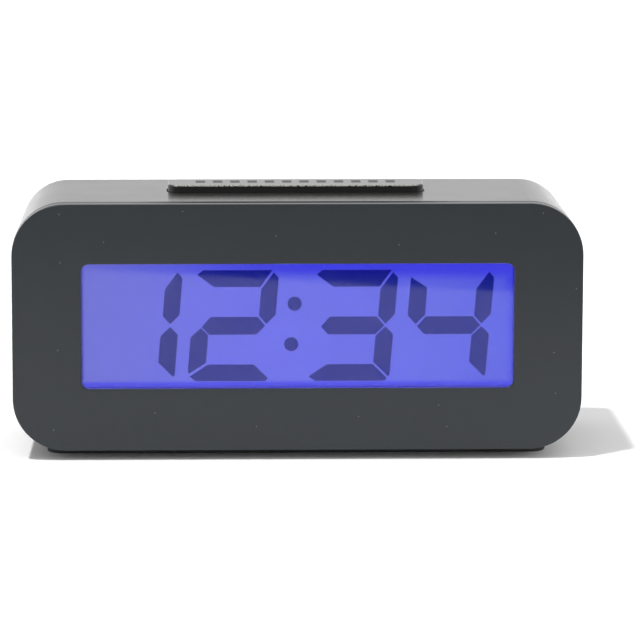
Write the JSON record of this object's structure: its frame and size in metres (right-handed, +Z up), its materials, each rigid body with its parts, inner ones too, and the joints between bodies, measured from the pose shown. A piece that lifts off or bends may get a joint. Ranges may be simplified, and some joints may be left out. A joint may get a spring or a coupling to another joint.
{
  "type": "digital desk clock",
  "caption": "Battery desk clock with a lit segment display in a rounded box case, a long push bar on top, set buttons and a battery door at the back.",
  "frame": {"origin": "middle of the clock's footprint, on the surface that its feet stand on", "axes": "+X to the viewer's right along the clock's width, +Y from the display towards the back, +Z up"},
  "size_m": [0.13, 0.045, 0.0605],
  "materials": {
    "bezel_plastic": "fine matt texture",
    "case_plastic": "satin gloss",
    "button_plastic": "satin",
    "clear_acrylic": "clear polished",
    "display_glass": "clear polished",
    "segment_ink": "flat",
    "diffuser": "even glow",
    "guide_acrylic": "edge lit",
    "white_film": "flat white",
    "white_plastic": "satin",
    "led_resin": "clear blue",
    "grey_rubber": "flat",
    "foot_rubber": "flat",
    "board_laminate": "solder mask",
    "chip_resin": "glossy",
    "bright_metal": "satin",
    "capacitor_sleeve": "glossy sleeve",
    "screw_steel": "zinc plated",
    "switch_plastic": "matt",
    "stem_plastic": "satin",
    "cell_jacket": "plain printed jacket",
    "contact_nickel": "nickel plated",
    "sounder_brass": "bright",
    "sounder_ceramic": "silvered",
    "ribbon_grey": "satin",
    "lead_sleeve": "satin"
  },
  "bodies": {
    "clock": {"front_bezel": "bezel_plastic", "rear_case": "case_plastic", "window_lens": "clear_acrylic", "lcd_front_glass": "display_glass", "lcd_rear_glass": "display_glass", "lcd_segments": "segment_ink", "diffuser_sheet": "diffuser", "light_guide": "guide_acrylic", "reflector_sheet": "white_film", "display_frame": "white_plastic", "backlight_leds": "led_resin", "contact_strip": "grey_rubber", "front_foot_strip": "foot_rubber", "rear_foot_strip": "foot_rubber", "circuit_board": "board_laminate", "control_board": "board_laminate", "snooze_board": "board_laminate", "clock_chip": "chip_resin", "quartz_crystal": "bright_metal", "capacitors": "capacitor_sleeve", "board_screws": "screw_steel", "case_screws": "screw_steel", "snooze_board_screws": "screw_steel", "control_board_screws": "screw_steel", "snooze_switch": "switch_plastic", "set_switches": "switch_plastic", "slide_switch": "switch_plastic", "upper_battery": "cell_jacket", "lower_battery": "cell_jacket", "positive_contact": "contact_nickel", "negative_contact": "contact_nickel", "link_contact": "contact_nickel", "negative_spring": "contact_nickel", "link_spring": "contact_nickel", "sounder_disc": "sounder_brass", "sounder_ceramic": "sounder_ceramic", "control_ribbon": "ribbon_grey", "snooze_ribbon": "ribbon_grey", "battery_leads": "lead_sleeve"},
    "push_bar": {"snooze_bar": "case_plastic", "snooze_switch_stem": "stem_plastic"},
    "hour_push": {"hour_button": "button_plastic", "hour_switch_stem": "stem_plastic"},
    "minute_push": {"minute_button": "button_plastic", "minute_switch_stem": "stem_plastic"},
    "time_push": {"time_button": "button_plastic", "time_switch_stem": "stem_plastic"},
    "alarm_push": {"alarm_button": "button_plastic", "alarm_switch_stem": "stem_plastic"},
    "alarm_slider": {"alarm_switch_knob": "button_plastic", "alarm_switch_lever": "stem_plastic"},
    "door": {"battery_door": "case_plastic"}
  },
  "joints": [
    {"name": "snooze_press", "type": "slide", "parent": "clock", "child": "push_bar", "axis": [0, 0, -1], "range_m": [0, 0.0008], "stiffness_N_per_m": 900, "springref_m": -0.0006},
    {"name": "hour_press", "type": "slide", "parent": "clock", "child": "hour_push", "axis": [0, -1, 0], "range_m": [0, 0.0005], "stiffness_N_per_m": 700, "springref_m": -0.0006},
    {"name": "minute_press", "type": "slide", "parent": "clock", "child": "minute_push", "axis": [0, -1, 0], "range_m": [0, 0.0005], "stiffness_N_per_m": 700, "springref_m": -0.0006},
    {"name": "time_press", "type": "slide", "parent": "clock", "child": "time_push", "axis": [0, -1, 0], "range_m": [0, 0.0005], "stiffness_N_per_m": 700, "springref_m": -0.0006},
    {"name": "alarm_press", "type": "slide", "parent": "clock", "child": "alarm_push", "axis": [0, -1, 0], "range_m": [0, 0.0005], "stiffness_N_per_m": 700, "springref_m": -0.0006},
    {"name": "alarm_slide", "type": "slide", "parent": "clock", "child": "alarm_slider", "axis": [1, 0, 0], "range_m": [0, 0.004]},
    {"name": "door_tilt", "type": "hinge", "parent": "clock", "child": "door", "pos_m": [0, 0.0225, 0.0064], "axis": [-1, 0, 0], "range_deg": [0, 60]}
  ]
}
